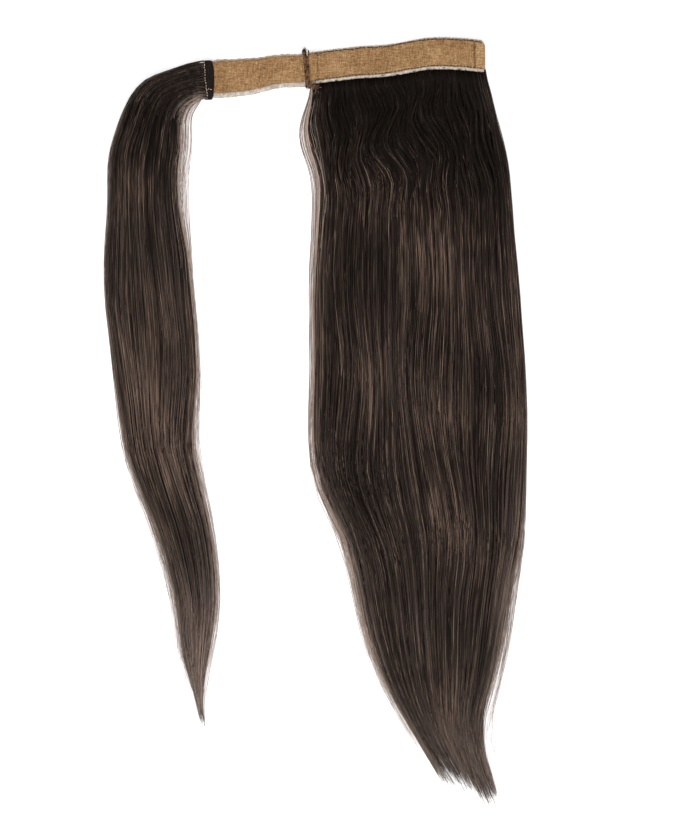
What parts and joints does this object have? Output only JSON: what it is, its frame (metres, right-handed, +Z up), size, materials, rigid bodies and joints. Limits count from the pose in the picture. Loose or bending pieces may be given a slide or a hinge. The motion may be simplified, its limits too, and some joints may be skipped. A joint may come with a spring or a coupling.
{
  "type": "wrap-around ponytail hairpiece",
  "caption": "Straight long ponytail of false hair on a hook-and-loop band, with a side lock that winds round to hide the band, lying flat.",
  "frame": {"origin": "middle of the base's flat back, where it lies against the wearer's own ponytail; the surface that the piece lies on is at Z 0", "axes": "+Y from the hair's tips towards the band, +X from the strap towards the base, +Z up from the surface, the side that faces away from the head"},
  "size_m": [0.2974, 0.5329, 0.0143],
  "materials": {
    "loop_tape": "tan brushed loop tape with a fine rib and a worn pile",
    "hook_tape": "clear to whitish moulded hook tape",
    "thread": "dark brown sewing thread and folded weft band",
    "hair": "straight dark brown hair, almost black at the roots and ash brown at the tips, with a soft gloss"
  },
  "bodies": {
    "root": {"base_loop_tape": "loop_tape", "base_hook_tape": "hook_tape", "strap_loop_tape": "loop_tape", "strap_hook_tape": "hook_tape", "joint_thread": "thread", "lock_cover": "thread", "fall_of_hair": "hair", "wrapping_lock": "hair"}
  },
  "joints": []
}
